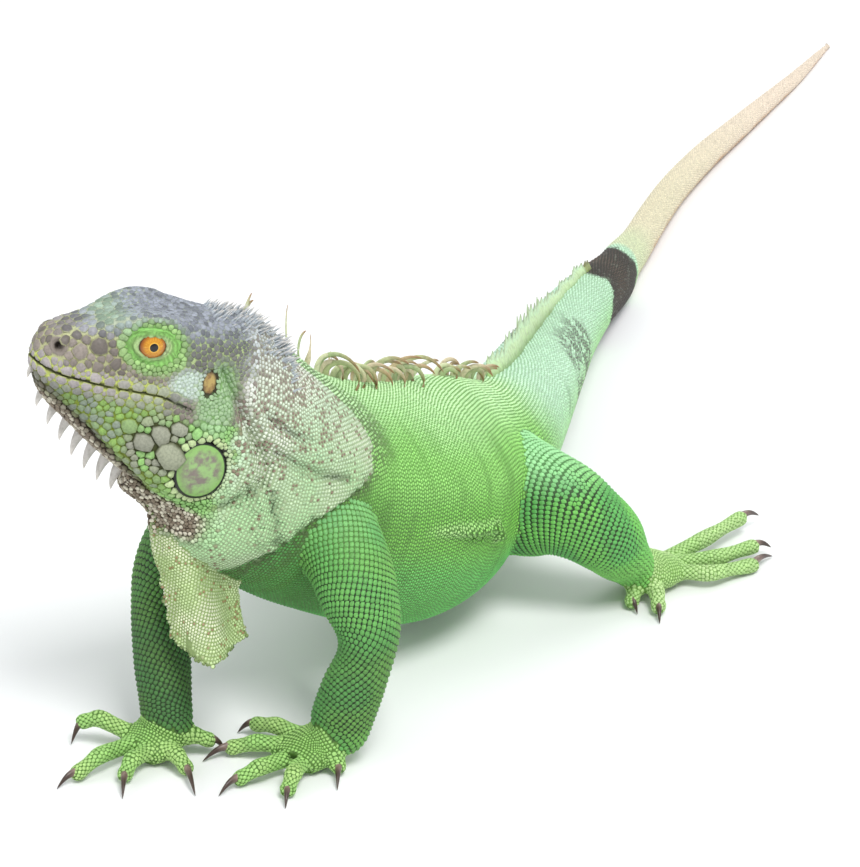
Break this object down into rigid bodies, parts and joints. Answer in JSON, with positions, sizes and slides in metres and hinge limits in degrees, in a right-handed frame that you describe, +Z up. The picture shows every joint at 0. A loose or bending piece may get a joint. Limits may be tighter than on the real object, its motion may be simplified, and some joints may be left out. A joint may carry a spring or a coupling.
{
  "type": "green iguana model",
  "caption": "Life-size still model of a green iguana standing on all fours, head raised and turned to its right, dewlap hanging, long tail laid out behind.",
  "frame": {"origin": "middle of the animal's bounding box, on the floor it stands on", "axes": "+X from the tail tip towards the head, +Y to the animal's left, +Z up"},
  "size_m": [1.0142, 0.2947, 0.2275],
  "materials": {
    "head_skin": "grey-green plated scales, satin",
    "neck_skin": "pale mint granular scales with rusty speckles, satin",
    "trunk_skin": "light green fine scales in slanting rows, satin",
    "limb_skin": "emerald keeled scales with dark seams, satin",
    "foot_skin": "yellow-green ringed scales, satin",
    "tail_skin": "pale mint keeled scales in rings with dark bands, satin",
    "dewlap_skin": "pale yellow-green thin scaled skin with rusty speckles, satin",
    "eye_ball": "orange iris and black pupil under a clear wet surface",
    "ear_drum": "smooth thin membrane, satin",
    "shield_plate": "smooth green plate with mauve-brown blotches, satin",
    "claw_horn": "dark brown horn, satin"
  },
  "bodies": {
    "root": {"head": "head_skin", "neck": "neck_skin", "trunk": "trunk_skin", "tail_base": "tail_skin", "tail_fore": "tail_skin", "tail_middle": "tail_skin", "tail_end": "tail_skin", "dewlap": "dewlap_skin", "upper_arm_left": "limb_skin", "forearm_left": "limb_skin", "thigh_left": "limb_skin", "shank_left": "limb_skin", "hand_left": "foot_skin", "foot_left": "foot_skin", "eye_left": "eye_ball", "ear_left": "ear_drum", "shield_left": "shield_plate", "claw_hand_left_1": "claw_horn", "claw_hand_left_2": "claw_horn", "claw_hand_left_3": "claw_horn", "claw_hand_left_4": "claw_horn", "claw_hand_left_5": "claw_horn", "claw_foot_left_1": "claw_horn", "claw_foot_left_2": "claw_horn", "claw_foot_left_3": "claw_horn", "claw_foot_left_4": "claw_horn", "claw_foot_left_5": "claw_horn", "upper_arm_right": "limb_skin", "forearm_right": "limb_skin", "thigh_right": "limb_skin", "shank_right": "limb_skin", "hand_right": "foot_skin", "foot_right": "foot_skin", "eye_right": "eye_ball", "ear_right": "ear_drum", "shield_right": "shield_plate", "claw_hand_right_1": "claw_horn", "claw_hand_right_2": "claw_horn", "claw_hand_right_3": "claw_horn", "claw_hand_right_4": "claw_horn", "claw_hand_right_5": "claw_horn", "claw_foot_right_1": "claw_horn", "claw_foot_right_2": "claw_horn", "claw_foot_right_3": "claw_horn", "claw_foot_right_4": "claw_horn", "claw_foot_right_5": "claw_horn"}
  },
  "joints": []
}
